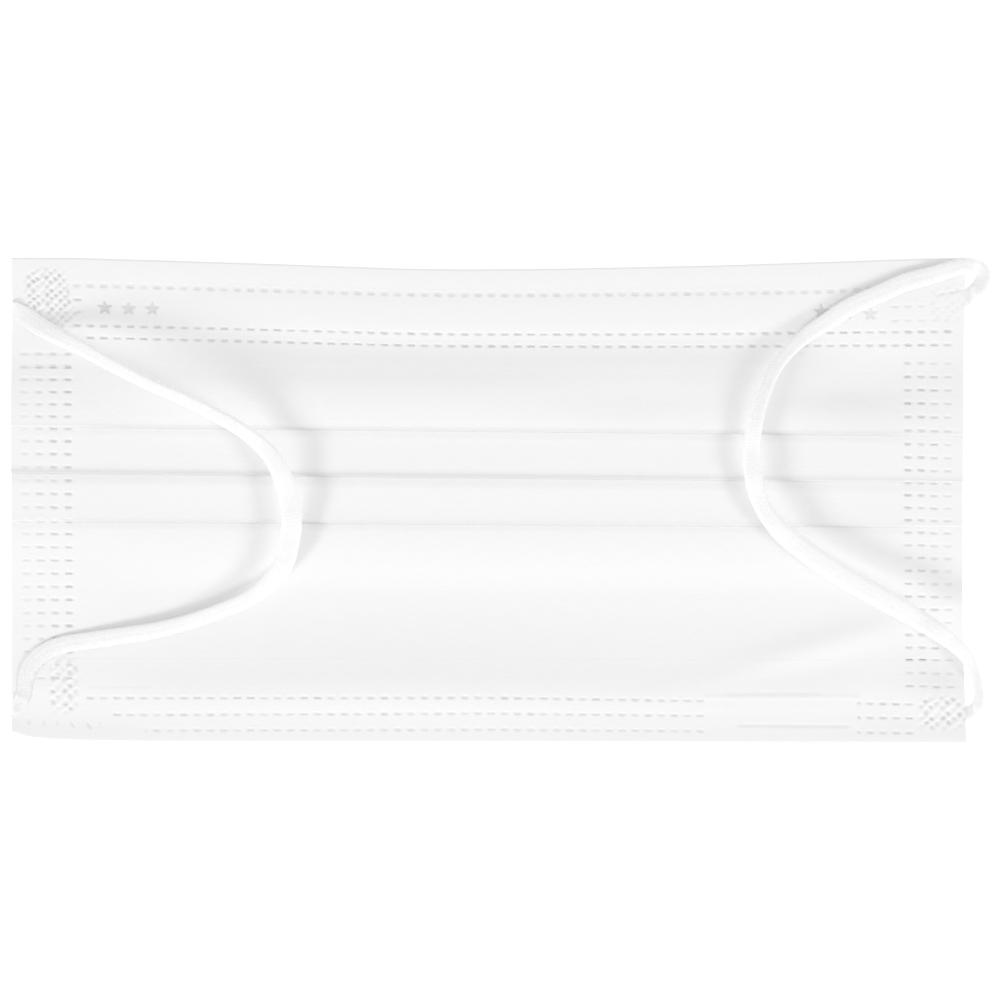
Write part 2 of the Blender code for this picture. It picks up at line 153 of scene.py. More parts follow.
# height of the lowest layer: the middle's curve goes over into the bands' curve, with bell-shaped swells, and
# a smooth cut keeps it just over the floor
def baseAt(x, y):
    x, y = np.broadcast_arrays(x, y)
    start = halfWidth - maskSheet["bandWidth"] - maskSheet["freeRun"]
    free = 1 - eased((np.abs(x) - start) / maskSheet["freeRun"])
    middle, band = (throughPlaces(y / mm, table["y"], table["rise"]) for table in (middleRise, bandRise))
    total = middle * free + band * (1 - free)
    for middleX, middleY, wide, tall, degrees, rise in swells:
        turn = math.radians(degrees)
        dx, dy = x / mm - middleX, y / mm - middleY
        along = (dx * math.cos(turn) + dy * math.sin(turn)) / wide
        across = (dy * math.cos(turn) - dx * math.sin(turn)) / tall
        total = total + rise * np.exp(-0.5 * (along**2 + across**2))
    return mm * (0.02 + 0.5 * (total + np.sqrt(total**2 + 0.001)))


# A strip of the folded body at a station: its middle line rises evenly from the fold behind it to its own
# fold edge, two layers in a pitch. The first strip starts level with a soft bend, and the last one falls
# back to the floor on a curve that starts with the same lean.
def stripHeight(x, y, strip):
    step = stepAt(x)
    rate = 2 * step / maskSheet["pleatPitch"]
    fold = maskSheet["firstFold"] - strip * maskSheet["pleatPitch"]
    behind = fold + maskSheet["pleatPitch"] + maskSheet["pleatDepth"]
    if strip == 0:
        soft = maskSheet["softStart"]
        gone = behind - y
        ramp = np.where(gone > soft, gone, np.clip(gone + soft, 0, None) ** 2 / (4 * soft))
    else:
        ramp = behind - y
    height = maskSheet["wall"] / 2 + rate * ramp
    if strip == maskSheet["pleatCount"]:
        last = fold + maskSheet["pleatPitch"]
        run = maskSheet["bellyRun"]
        t = np.clip((last - y) / run, 0, 1)
        start = rate * maskSheet["pleatDepth"]
        belly = start * (1 - t) ** 2 * (1 + 2 * t) + rate * run * t * (1 - t) ** 2
        height = np.where(y < last, maskSheet["wall"] / 2 + belly, height)
    return height


# height of the seen side over the floor at a place in the section, hems left out
def bodyTop(x, y):
    top = stripHeight(x, y, maskSheet["pleatCount"])
    for strip in reversed(range(maskSheet["pleatCount"])):
        fold = maskSheet["firstFold"] - strip * maskSheet["pleatPitch"]
        top = np.where(y > fold, stripHeight(x, y, strip), top)
    return top + maskSheet["wall"] / 2 + baseAt(x, y)


# From a place in the section to its place in plan: the top edge sags, the lower left corner curls up, the
# fold lines lean, the right edge bows in, both edges spread a little, and the loops pull the left edge in.
def inPlan(x, y):
    across = x / halfWidth
    fold, curl = maskSheet["firstFold"], maskSheet["curlRun"]
    upper = np.clip((y - fold) / (edgeY - fold), 0, 1)
    lower = np.clip((curl - y - edgeY) / curl, 0, 1)
    yOut = y - maskSheet["topSag"] * np.interp(across, topEdge["across"], topEdge["sag"]) * upper
    curled = np.interp(across, bottomEdge["across"], bottomEdge["curl"])
    yOut = yOut + maskSheet["cornerCurl"] * curled * lower
    lean = maskSheet["pleatLean"] * np.exp(-(((y - maskSheet["leanAt"]) / maskSheet["leanAt"]) ** 2))
    yOut = yOut - across / 2 * (maskSheet["pleatDrop"] * np.clip(1 - np.abs(y) / edgeY, 0, None) + lean)
    xOut = x - maskSheet["sideBow"] * np.clip(across, 0, None) ** 6 * np.clip(1 - (y / edgeY) ** 2, 0, None)
    start, run = maskSheet["edgeFrom"], maskSheet["edgeRun"]
    xOut = xOut + maskSheet["sideSpread"] * np.sign(across) * eased((np.abs(across) - start) / run)
    for side, height, tall, pull in edgePulls:
        near = np.clip((side * across - start) / run, 0, 1) ** 2
        xOut = xOut - side * pull * mm * near * np.exp(-(((y / mm - height) / tall) ** 2))
    return xOut, yOut


# The pressed marks

topHem = {"depth": 20.5 * mm, "wall": 0.26 * mm, "gap": 0.05 * mm, "turn": 0.2 * mm, "feather": 6 * mm}
bottomHem = {"depth": 15.5 * mm, "wall": 0.26 * mm, "gap": 0.05 * mm, "turn": 0.2 * mm, "feather": 7.5 * mm}

# rows of weld dashes along the hems: height at the left end, the middle and the right end, and where the row
# starts and stops in x, all in mm, with how strongly it is pressed and how much taller its dashes are
hemDashes = {"length": 1.42, "height": 0.52, "pitchLeft": 2.459, "pitchRight": 2.4, "start": 0.55}
hemRows = [
    ([39.65, 39.75, 39.15], -77, 71, 0.55, 1.7),
    ([32.2, 31.95, 31.4], -77, 86, 1.0, 1),
    ([29.95, 29.6, 28.95], -74, 86, 1.0, 1),
    ([-36.35, -36.15, -37.3], -74, 39.5, 0.75, 1),
    ([-39.5, -39.1, -39.9], -70, 39.5, 0.65, 1),
    ([-42.4, -42.1, -42.6], -63, 39.5, 0.5, 1),
    ([-36.35, -36.15, -37.3], 68, 79, 0.8, 1),
    ([-39.5, -39.1, -39.9], 68, 79, 0.8, 1),
    ([-42.4, -42.1, -42.6], 68, 79, 0.6, 1),
]

# the columns of dashes in the fused bands: x at the top and at the bottom, height of the first dash, and
# how strongly pressed
bandDashes = {"length": 1.4, "height": 0.5, "pitch": 2.38, "count": 26}
bandColumns = [
    (-85.2, -84.6, 26.8, 0.4), (-82.6, -82.2, 26.8, 0.7),
    (-80.05, -79.6, 26.8, 0.85), (-77.3, -77.1, 26.8, 1.0),
    (77.2, 77.6, 25.6, 1.0), (79.75, 80.05, 25.6, 0.9),
    (82.1, 82.5, 25.5, 0.8), (84.6, 84.95, 25.5, 0.6),
]

# five-pointed stars pressed into the top hem: middle in mm and how strongly pressed
stars = [
    (-70.6, 35.6, 1.1), (-66.25, 35.5, 0.85), (-61.85, 35.6, 0.8),
    (61.3, 35.4, 0.95), (65.7, 35.2, 0.7), (70.3, 34.9, 0.6),
]
starSize = 1.5  # from its middle to a point, in mm

# single dashes beside the rows: x and y of the middle in mm, turn in degrees, strength
loneDashes = [
    (-75.5, 37.0, 0, 0.9), (-75.7, 34.6, 15, 0.6), (74.9, 36.1, 0, 0.5), (77.2, 36.1, 0, 0.45),
    (79.7, 36.1, 0, 0.35), (74.9, 33.5, 10, 0.5), (77.3, 33.5, 0, 0.4), (79.8, 33.5, 0, 0.35),
    (82.3, 33.5, 0, 0.2), (84.2, 33.4, 0, 0.2), (-84.3, -41.2, 80, 0.35), (-81.6, -41.3, 110, 0.3),
    (-79.2, -41.2, 100, 0.25), (-76.5, -41.4, 120, 0.4), (-73.4, -41.6, 125, 0.45), (-71.3, -41.4, 100, 0.25),
]

# Painted shade along the fold edges of the pleats: a thin darker line in the crevice at each fold edge and a
# faint painted shadow on the strip below it. How strong each is, where it fades, what is left at its ends and
# at the right, how far it reaches above the fold, and its strength and reach below; in mm.
creaseShades = [
    {"press": 1.3, "from": -73.5, "to": 76, "ends": 0.7, "right": 1.0,
     "above": 0.34, "below": 0.42, "run": 1.6},
    {"press": 1.5, "from": -92, "to": 79, "ends": 0.9, "right": 0.7,
     "above": 0.6, "below": 0.5, "run": 2.2},
    {"press": 1.3, "from": -76, "to": 76.5, "ends": 0.7, "right": 0.85,
     "above": 0.26, "below": 0.4, "run": 1.4},
]

# cross-hatched weld marks over the loops' ends: x and y of the middle, half sizes, pitch, strength
knurls = [
    (-81.2, 38.6, 4.0, 4.4, 1.55, 0.95),
    (-78.6, 34.4, 2.6, 3.4, 1.55, 0.6),
    (-78.0, -34.0, 2.7, 5.4, 2.1, 0.75),
    (84.4, 36.6, 3.4, 3.6, 1.7, 0.22),
    (83.4, -38.9, 4.6, 3.1, 1.9, 0.8),
]

# faint pressed and raised lines by the edges, the bare plate's rim, and one painted shadow along the bottom
# hem's free edge: ends in mm, width, strength
hemLines = [
    (-77.3, 39.6, -77.3, 36.4, 0.32, 0.5),
    (82.4, 38.0, 87.2, 38.8, 0.24, 0.4),
    (-85.8, 26.9, -77.2, 26.7, 0.34, 0.2),
    (-85.8, 24.4, -77.2, 24.5, 0.34, 0.22),
    (-85.8, 22.1, -77.2, 22.0, 0.34, 0.15),
    # painted shadow: a faint dark line where the bottom hem's free edge casts its shadow
    (-73.6, -34.3, -62.2, -34.2, 0.3, 0.15),
    (40.0, -36.2, 67.8, -36.1, 0.45, -0.3),
    (44.0, -35.5, 61.0, -35.3, 0.35, 0.2),
    (46.0, -41.35, 66.0, -41.45, 0.3, 0.4),
    (67.6, -36.2, 67.7, -41.3, 0.35, -0.4),
]


# a rounded oblong: 1 inside and 0 outside, with a soft rim, from the sum of powers of the two distances
def oblong(dx, dy, length, height):
    q = (np.abs(dx) / (length / 2)) ** 3 + (np.abs(dy) / (height / 2)) ** 2.4
    return np.clip((1.35 - q) / 0.8, 0, 1)


# a five-pointed star: the distance from the middle is set against a saw-toothed rim
def starMark(dx, dy, size):
    turn = np.arctan2(dx, dy) / (2 * math.pi / 5)
    tooth = np.abs(turn - np.round(turn)) * 2  # 0 at a point, 1 between two points
    inner = 0.45 * size
    angle = tooth * math.pi / 5
    rim = size * inner * math.sin(math.pi / 5)
    rim = rim / (inner * np.sin(math.pi / 5 - angle) + size * np.sin(angle))
    return np.clip((rim - np.hypot(dx, dy)) / 0.22 + 0.5, 0, 1)


waves = chance.uniform(0, 1, (10, 4))  # seeded directions, lengths and phases


# an uneven field of about -1 to 1: ten plane waves in all directions, of about the given length
def cloudAt(x, y, length):
    total = 0
    for turn, stretch, phase, strength in waves:
        size = 2 * math.pi / (length * (0.6 + stretch))
        along = x * math.cos(math.pi * 2 * turn) + y * math.sin(math.pi * 2 * turn)
        total = total + (0.5 + strength) * np.sin(along * size + 2 * math.pi * phase)
    return total / 4


# crossed ridges at 45 degrees: pits between them, unevenly deep, inside a soft-edged round block
def knurlMark(dx, dy, wide, tall, pitch):
    bent = 0.25 * cloudAt(dx, dy, 3.0)
    a = np.sin((dx + dy + bent) * math.pi / pitch) ** 2
    b = np.sin((dx - dy - bent) * math.pi / pitch * 0.93) ** 2
    depth = np.clip(0.75 + 0.6 * cloudAt(dx + 5, dy, 2.6), 0.15, 1.3)
    pits = np.clip(1.5 * a * b ** 0.7 - 0.15, 0, 1) * depth
    ridges = 0.7 * (1 - b) ** 2
    q = (np.abs(dx) / wide) ** 4 + (np.abs(dy) / tall) ** 4
    return (0.12 + pits - ridges) * np.clip((1.25 - q) / 0.9, 0, 1)


def dashNumber(x):  # x in mm, counted from the middle of the mask, where the roller's pitch changes
    pitch = np.where(x < 0, hemDashes["pitchLeft"], hemDashes["pitchRight"])
    return (x - hemDashes["start"]) / pitch, pitch


dashVariety = chance.uniform(0.72, 1.12, (24, 200))  # one strength for each dash of each row


# painted shade along a fold edge, how dark: strongest at the edge, gone a little above it, and a faint
# painted shadow below
def creaseShadeAt(x, y):
    x, y = np.broadcast_arrays(x / mm, y / mm)
    paintedShade = np.zeros(x.shape)
    for k, row in enumerate(creaseShades):
        off = y - maskSheet["firstFold"] / mm + k * maskSheet["pleatPitch"] / mm
        ends = eased((x - row["from"]) / 6 + 0.5) * eased((row["to"] - x) / 6 + 0.5)
        ends = (row["ends"] + (1 - row["ends"]) * ends) * (1 + (row["right"] - 1) * eased(x / 70))
        above = row["press"] * np.exp(-((np.clip(off - 0.1, 0, None) / row["above"]) ** 1.3)) * (off > -0.02)
        below = row["below"] * np.clip(1 + off / row["run"], 0, 1) ** 0.7 * (off <= -0.02)
        paintedShade = np.maximum(paintedShade, ends * (above + below))
    return paintedShade


# how far the sheet is pressed at a place in the section, 0 to about 1
def pressAt(x, y):
    x, y = np.broadcast_arrays(x / mm, y / mm)
    press = np.zeros(x.shape)
    number, pitch = dashNumber(x)
    nearest = np.round(number)
    dx = (number - nearest) * pitch
    for k, (heights, left, right, strength, taller) in enumerate(hemRows):
        middle = np.interp(x, [-77, 0, 80], heights)
        inside = (x > left) & (x < right)
        each = dashVariety[k, (nearest + 100).astype(int) % 200]
        mark = oblong(dx, y - middle, hemDashes["length"], hemDashes["height"] * taller)
        press = np.maximum(press, inside * each * strength * mark)
    for k, (top, bottom, first, strength) in enumerate(bandColumns):
        along = (first - y) / bandDashes["pitch"]
        place = np.clip(np.round(along), 0, bandDashes["count"] - 1)
        column = top + (bottom - top) * place / bandDashes["count"]
        dy = (along - place) * bandDashes["pitch"]
        each = dashVariety[12 + k, place.astype(int)]
        mark = oblong(x - column, dy, bandDashes["length"], bandDashes["height"])
        press = np.maximum(press, each * strength * mark)
    for middleX, middleY, strength in stars:
        press = np.maximum(press, strength * starMark(x - middleX, y - middleY, starSize))
    for middleX, middleY, degrees, strength in loneDashes:
        turn = math.radians(degrees)
        dx, dy = x - middleX, y - middleY
        along, across = dx * math.cos(turn) + dy * math.sin(turn), dy * math.cos(turn) - dx * math.sin(turn)
        press = np.maximum(press, strength * oblong(along, across, hemDashes["length"], hemDashes["height"]))
    for middleX, middleY, wide, tall, ridgePitch, strength in knurls:
        press = press + strength * knurlMark(x - middleX, y - middleY, wide, tall, ridgePitch)
    for ax, ay, toX, toY, wide, strength in hemLines:
        bx, by = toX - ax, toY - ay
        share = np.clip(((x - ax) * bx + (y - ay) * by) / (bx * bx + by * by), 0, 1)
        away = np.hypot(x - ax - share * bx, y - ay - share * by)
        press = press + strength * np.exp(-((away / wide) ** 2))
    return press


# Mesh making

def flipped(faces, turned):
    return faces[:, ::-1] if turned else faces


sharpFrom = 38  # an edge that bends more than this, in degrees, stays sharp


# Puts points and faces of any size into a mesh, turned outwards: if the summed volume of the fans from the
# origin is below zero, every face is turned round.
def meshPiece(name, points, faceGroups, finish, attributes=None):
    volume = 0.0
    for faces in faceGroups:
        a = points[faces[:, 0]]
        for k in range(1, faces.shape[1] - 1):
            b, c = points[faces[:, k]], points[faces[:, k + 1]]
            volume += float(np.einsum("ij,ij->i", a, np.cross(b, c)).sum())
    faceGroups = [flipped(faces, volume < 0) for faces in faceGroups]
    mesh = bpy.data.meshes.new(name)
    mesh.vertices.add(len(points))
    mesh.vertices.foreach_set("co", points.astype(np.float32).ravel())
    corners = np.concatenate([faces.ravel() for faces in faceGroups])
    sizes = np.concatenate([np.full(len(faces), faces.shape[1]) for faces in faceGroups])
    mesh.loops.add(len(corners))
    mesh.loops.foreach_set("vertex_index", corners.astype(np.int32))
    mesh.polygons.add(len(sizes))
    mesh.polygons.foreach_set("loop_start", (np.cumsum(sizes) - sizes).astype(np.int32))
    mesh.update(calc_edges=True)
    mesh.shade_smooth()
    mesh.set_sharp_from_angle(angle=math.radians(sharpFrom))
    for key, values in (attributes or {}).items():
        layer = mesh.attributes.new(key, "FLOAT", "POINT")
        layer.data.foreach_set("value", values.astype(np.float32).ravel())
    mesh.materials.append(finish)
    piece = bpy.data.objects.new(name, mesh)
    bpy.context.scene.collection.objects.link(piece)
    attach(piece, "root")
    print("piece:", name, len(points), "points,", int((sizes - 2).sum()), "triangles")
    return piece


def gridFaces(rows, columns, first=0):
    i, j = np.meshgrid(np.arange(rows - 1), np.arange(columns - 1), indexing="ij")
    a = first + (i * columns + j).ravel()
    return np.stack([a, a + 1, a + columns + 1, a + columns], axis=1)


# how marks go into a wall: depth of a full mark, the strongest raised and pressed ones, and how far a mark
# may go into the seen side and shows on the far side, as shares of the wall and of the mark
marks = {"depth": 0.2 * mm, "raised": -0.6, "pressed": 1.2, "seenLimit": 0.7, "farLimit": 0.5,
         "farShare": 0.4, "farTone": 0.5}


# A closed wall from a middle line at each station: the seen side and the far side stand half a wall off it,
# square to it in the section. The far side has every second row, so a rim face has five corners at the ends.
def wallFromLine(name, x, y, z, wall, turnSign, finish, shown, farPress):
    dy, dz = np.gradient(y, axis=1), np.gradient(z, axis=1)
    size = np.hypot(dy, dz) + 1e-12
    ny, nz = turnSign * dz / size, -turnSign * dy / size
    seenAt = y + ny * wall / 2
    pressed = np.clip(pressAt(x, seenAt) * shown, marks["raised"], marks["pressed"])
    # painted shade along the pleats' fold edges, greyed together with the pressed marks
    paintedShade = creaseShadeAt(x, seenAt) * shown
    depth = marks["depth"] * pressed
    up = wall / 2 - np.minimum(depth, marks["seenLimit"] * wall)
    down = wall / 2 - marks["farShare"] * farPress * np.minimum(depth, marks["farLimit"] * wall)
    seenX, seenY = inPlan(x, y + ny * up)
    farX, farY = inPlan(x, y - ny * down)
    seen = np.stack([seenX, seenY, z + nz * up], axis=-1)
    far = np.stack([farX, farY, z - nz * down], axis=-1)[:, ::2]
    rows, columns = seen.shape[:2]
    fewer = far.shape[1]
    points = np.concatenate([seen.reshape(-1, 3), far.reshape(-1, 3)])
    start = rows * columns
    upper = gridFaces(rows, columns)
    lower = gridFaces(rows, fewer, start)[:, ::-1]
    rims = []
    for edge, lowEdge, turned in ((0, 0, False), (columns - 1, fewer - 1, True)):
        i = np.arange(rows - 1)
        a, b = i * columns + edge, start + i * fewer + lowEdge
        quad = np.stack([a, a + columns, b + fewer, b], axis=1)
        rims.append(flipped(quad, turned))
    ends = []
    for row, turned in ((0, True), (rows - 1, False)):
        j = np.arange(fewer - 1)
        a, b = row * columns + 2 * j, start + row * fewer + j
        five = np.stack([a, a + 1, a + 2, b + 1, b], axis=1)
        ends.append(flipped(five, turned))
    # one attribute for the pressed marks and the painted shade along the fold edges
    press = np.concatenate([np.maximum(pressed, paintedShade).ravel(), (marks["farTone"] * pressed[:, ::2]).ravel()])
    return meshPiece(name, points, [upper, lower, *rims, *ends], finish, {"press": press})


def steps(first, last, spacing):
    return np.linspace(first, last, max(int(round(abs(last - first) / spacing)), 1) + 1)


# stations in x: far apart in the free body, closer where it goes over into the bands, and close in them
def bodyStations():
    inner = halfWidth - maskSheet["bandWidth"]
    ease = inner - maskSheet["bandEase"]
    parts = ((0, ease, 2.6 * mm), (ease, inner, 1.6 * mm), (inner, halfWidth, 0.3 * mm))
    right = np.concatenate([steps(*part)[1:] for part in parts])
    return np.concatenate([-right[::-1], [0.0], right])


# The middle line of the folded sheet at every station, from the upper edge down: a strip, half a turn at
# its fold edge, the layer that runs back under it, half a turn back, and the next strip.
def foldedLine():
    x = bodyStations()[:, None]
    step, wall = stepAt(x), maskSheet["wall"]
    ys, zs = [], []

    def strip(first, last, number, drop, spacing):
        line = steps(first, last, spacing)
        y = np.broadcast_to(line[None, :], (len(x), len(line)))
        ys.append(y)
        zs.append(stripHeight(x, y, number) - drop + baseAt(x, y))

    def turn(centre, number, below, outward):
        angle = np.linspace(0, math.pi, 9)[None, 1:-1]
        y = centre + outward * step / 2 * np.sin(angle)
        middle = stripHeight(x, np.full_like(x, centre), number) - below * step - step / 2
        ys.append(y)
        zs.append(middle + step / 2 * np.cos(angle) + baseAt(x, y))

    reach = (maskSheet["layerStep"] + wall) / 2
    visible, hidden = 0.2 * mm, 1.5 * mm  # spacing of the rows where they are seen, and where not
    tucked = 0.6 * mm  # how far the finely spaced rows reach under a hem
    top = edgeY - maskSheet["edgeInset"]
    underHem = edgeY - topHem["depth"] + tucked
    strip(top, underHem, 0, 0, hidden)
    first = underHem - visible
    for k in range(maskSheet["pleatCount"]):
        fold = maskSheet["firstFold"] - k * maskSheet["pleatPitch"]
        outer, inner = fold + reach, fold + maskSheet["pleatDepth"] - reach
        strip(first, outer, k, 0, visible)
        turn(outer, k, 0, -1)
        strip(outer, inner, k, step, hidden)
        turn(inner, k, 1, 1)
        strip(inner, fold + visible, k + 1, 0, hidden)
        first = fold
    low = bottomHem["depth"] - edgeY - tucked
    strip(first, low, maskSheet["pleatCount"], 0, visible)
    strip(low - hidden, -top, maskSheet["pleatCount"], 0, hidden)
    y, z = np.concatenate(ys, axis=1), np.concatenate(zs, axis=1)
    if y.shape[1] % 2 == 0:  # the far side takes every second row, so the count has to be odd
        y, z = np.delete(y, 1, axis=1), np.delete(z, 1, axis=1)
    return np.broadcast_to(x, y.shape), y, z


def makePanel(finish):
    x, y, z = foldedLine()
    shown = np.gradient(y, axis=1) < 0  # the layers that run back are out of sight
    piece = wallFromLine("mask_body", x, y, z, maskSheet["wall"], 1, finish, shown, 1)
    unfolded = float(np.hypot(np.diff(y[0]), np.diff(z[0])).sum())
    print("unfolded length", round(unfolded / mm, 1), "mm")
    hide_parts("panel")
    return piece, unfolded


noseWire = {
    "length": 104 * mm,
    "width": 3.0 * mm,
    "thick": 0.14 * mm,  # what it lifts the hem by, and the strip's own share of that
    "solid": 0.8,
    "gap": 0.03 * mm,  # between the strip and the body
    "belowEdge": 9.0 * mm,
    "ramp": 4 * mm,
    "spacing": 1.5 * mm,
}
hemGrid = {"along": 0.27 * mm, "across": 0.2 * mm}
# puffed cloth between the weld rows of a hem: middle, spread and rise in mm
hemPuffs = [
    (42.4, 1.5, 0.06), (35.6, 2.5, 0.1), (-37.8, 0.9, 0.03), (-40.7, 0.9, 0.03),
]


# how far a hem stands off the body over the nose wire, fading beside it and past its ends
def wireBulge(x, y):
    beside = np.abs(y - edgeY + noseWire["belowEdge"]) - noseWire["width"] / 2
    beyond = np.abs(x) - noseWire["length"] / 2
    ramp = noseWire["ramp"]
    return noseWire["thick"] * eased(1 - beside / ramp) * eased(1 - beyond / (1.5 * ramp))


def hemLift(x, y):
    puff = sum(rise * np.exp(-0.5 * ((y / mm - middle) / tall) ** 2) for middle, tall, rise in hemPuffs)
    return puff * mm * (1 - 0.6 * pressedAt(x)) + wireBulge(x, y)


# a hem thins out towards its inner edge, so that no step shows there: its share of the full thickness
def featherAt(y, plan):
    return 0.05 + 0.95 * eased((np.abs(y) - edgeY + plan["depth"]) / plan["feather"])


# The middle line of a hem at every station: a flap on the body, a quarter turn round the body's edge, and
# down to the level of the body's far side.
def makeHem(name, node, plan, sign, finish):
    x = steps(-halfWidth, halfWidth, hemGrid["along"])[:, None]
    wall, radius = plan["wall"], plan["turn"]
    last = edgeY - wall / 2 - radius
    flap = steps(edgeY - plan["depth"], last, hemGrid["across"])[None, :]
    yFlap = np.broadcast_to(sign * flap, (len(x), flap.shape[1]))
    full = featherAt(yFlap, plan)
    zFlap = bodyTop(x, yFlap) + full * (plan["gap"] + wall / 2) + hemLift(x, yFlap)
    angle = np.linspace(0, math.pi / 2, 7)[None, 1:]
    yTurn = np.broadcast_to(sign * (last + radius * np.sin(angle)), (len(x), 6))
    zTurn = zFlap[:, -1:] - radius + radius * np.cos(angle)
    foot = baseAt(x, np.full_like(x, sign * last))
    share = np.linspace(0, 1, 4)[None, 1:]
    yDown = np.broadcast_to(yTurn[:, -1:], (len(x), 3))
    zDown = zTurn[:, -1:] + (foot - zTurn[:, -1:]) * share
    y = np.concatenate([yFlap, yTurn, yDown], axis=1)
    z = np.concatenate([zFlap, zTurn, zDown], axis=1)
    if y.shape[1] % 2 == 0:
        y, z = np.delete(y, 1, axis=1), np.delete(z, 1, axis=1)
    x = np.broadcast_to(x, y.shape)
    shown = np.abs(y) < last + radius / 2
    piece = wallFromLine(name, x, y, z, wall * featherAt(y, plan), -sign, finish, shown, 0)
    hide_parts(node)
    return piece


# A flat strip with a round rim, carried along the sagging edge: a flattened ring of corners at each station
def makeWire(finish):
    x = steps(-noseWire["length"] / 2, noseWire["length"] / 2, noseWire["spacing"])
    angle = np.linspace(0, 2 * math.pi, 17)[:-1]
    middle = edgeY - noseWire["belowEdge"]
    yy = middle + noseWire["width"] / 2 * np.sign(np.cos(angle)) * np.abs(np.cos(angle)) ** 0.5
    base = bodyTop(x, np.full_like(x, middle)) + noseWire["gap"]
    tall = noseWire["thick"] * noseWire["solid"]
    zz = base[:, None] + tall / 2 + tall / 2 * np.sin(angle)[None, :]
    px, py = inPlan(x[:, None], yy[None, :])
    points = np.stack([np.broadcast_to(px, zz.shape), np.broadcast_to(py, zz.shape), zz], axis=-1)
    return tubePiece("nose_strip", points, finish, "nose_wire")


# A tube from rings of points: quads between the rings and a flat many-cornered face at each end
def tubePiece(name, rings, finish, node, attributes=None):
    count, around = rings.shape[:2]
    i, j = np.meshgrid(np.arange(count - 1), np.arange(around), indexing="ij")
    a, b = i * around + j, i * around + (j + 1) % around
    sides = np.stack([a, b, b + around, a + around], axis=-1).reshape(-1, 4)
    ends = np.stack([np.arange(around)[::-1], (count - 1) * around + np.arange(around)])
    piece = meshPiece(name, rings.reshape(-1, 3), [sides, ends], finish, attributes)
    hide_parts(node)
    return piece


# The ear loops

# Routes in mm: x, y, height of the loop's middle, which way its flat side faces in degrees from straight up
# to outwards, and how far it lies on the mask instead of at that height, 0 to 1. Where only x and y are
# given it lies on the mask. Sections by share of the length: width, thickness, roll in degrees, and how high
# the loop arches over what it lies on. "greyEnds" is how far the grey of each end reaches, as a share of the
# length, and the pair after it is how strong the painted glow is at each end: emission that lightens the loop
# where it lies in shade by the mask's edge.
leftLoop = {
    "name": "loop_left",
    "node": "ear_loop_left",
    "side": -1,
    "length": 0.148,
    "greyEnds": (0.0, 0.0),
    "endGlow": (0, 0),
    "route": [
        (-83.0, 34.9, 0.72, 180, 0), (-85.5, 34.9, 0.8, 180, 0), (-87.0, 34.9, 0.88, 165, 0),
        (-87.5, 34.85, 1.1, 125, 0), (-87.7, 34.8, 1.42, 90, 0), (-87.5, 34.7, 1.74, 55, 0),
        (-86.9, 34.5, 1.95, 15, 0), (-85.2, 33.8, 2.0, 0, 0.8), (-82.4, 32.0, 2.2, 0, 1),
        (-78.8, 30.0), (-75.1, 28.2), (-68.5, 24.6), (-62.2, 21.4), (-54.7, 18.1),
        (-47.1, 14.1), (-42.4, 10.8), (-38.9, 6.9), (-36.7, 1.0), (-36.1, -3.6),
        (-36.7, -8.2), (-38.2, -12.6), (-43.0, -17.3), (-51.3, -21.0), (-60.7, -23.7),
        (-72.1, -25.5), (-78.6, -26.6), (-82.0, -28.1), (-84.1, -30.2), (-85.1, -32.8),
        (-85.4, -35.2, 1.9, 0, 0.8), (-86.2, -37.0, 1.9, 8, 0), (-87.3, -38.2, 1.8, 45, 0),
        (-87.65, -38.6, 1.45, 90, 0), (-87.3, -38.9, 1.02, 140, 0), (-86.0, -38.7, 0.82, 175, 0),
        (-83.2, -37.0, 0.72, 180, 0),
    ],
    "section": [
        (0.0, 3.8, 0.4, 0, -0.05), (0.05, 3.8, 0.35, 0, -0.1), (0.075, 3.6, 0.4, 0, 0.1),
        (0.12, 2.9, 0.8, 5, 2.2), (0.17, 2.5, 1.1, 10, 3.0), (0.24, 2.3, 1.2, 10, 3.1),
        (0.36, 2.6, 1.1, 8, 2.9), (0.44, 3.7, 0.9, 4, 2.8), (0.54, 3.9, 0.9, 0, 2.6),
        (0.62, 2.8, 1.0, -6, 1.25), (0.69, 2.8, 0.8, -7, 0.3), (0.78, 3.1, 0.7, -5, 0.05),
        (0.87, 3.2, 0.45, 0, -0.12), (0.92, 3.2, 0.35, 0, -0.15), (0.965, 2.0, 0.35, 0, -0.1),
        (1.0, 3.6, 0.4, 0, 0),
    ],
}

